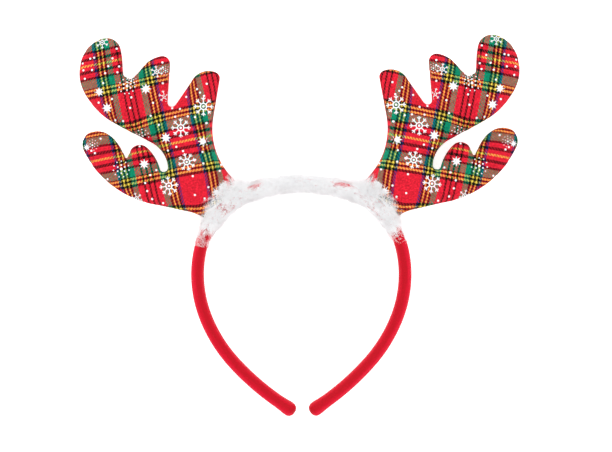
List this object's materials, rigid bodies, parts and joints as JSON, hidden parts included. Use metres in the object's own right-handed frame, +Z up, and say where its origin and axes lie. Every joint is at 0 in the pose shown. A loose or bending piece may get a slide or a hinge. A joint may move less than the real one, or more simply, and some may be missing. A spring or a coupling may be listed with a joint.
{
  "type": "reindeer antler headband",
  "caption": "Costume headband lying flat: a fabric-covered springy band with two stuffed plaid reindeer antlers and a white feather trim over its top.",
  "frame": {"origin": "centre of the bounding box, on the floor that the headband lies on", "axes": "+Y from the band's tips to the antlers, +Z up from the floor, +X towards antler_right"},
  "size_m": [0.2452, 0.2122, 0.0202],
  "materials": {
    "band_cloth": "red satin-like cloth wrapped tight",
    "tartan_cloth": "matte twill in red, green, black and yellow plaid with white printed snow",
    "white_feather": "fine white down"
  },
  "bodies": {
    "root": {"headband": "band_cloth", "antler_left": "tartan_cloth", "antler_right": "tartan_cloth", "feather_trim": "white_feather"}
  },
  "joints": []
}
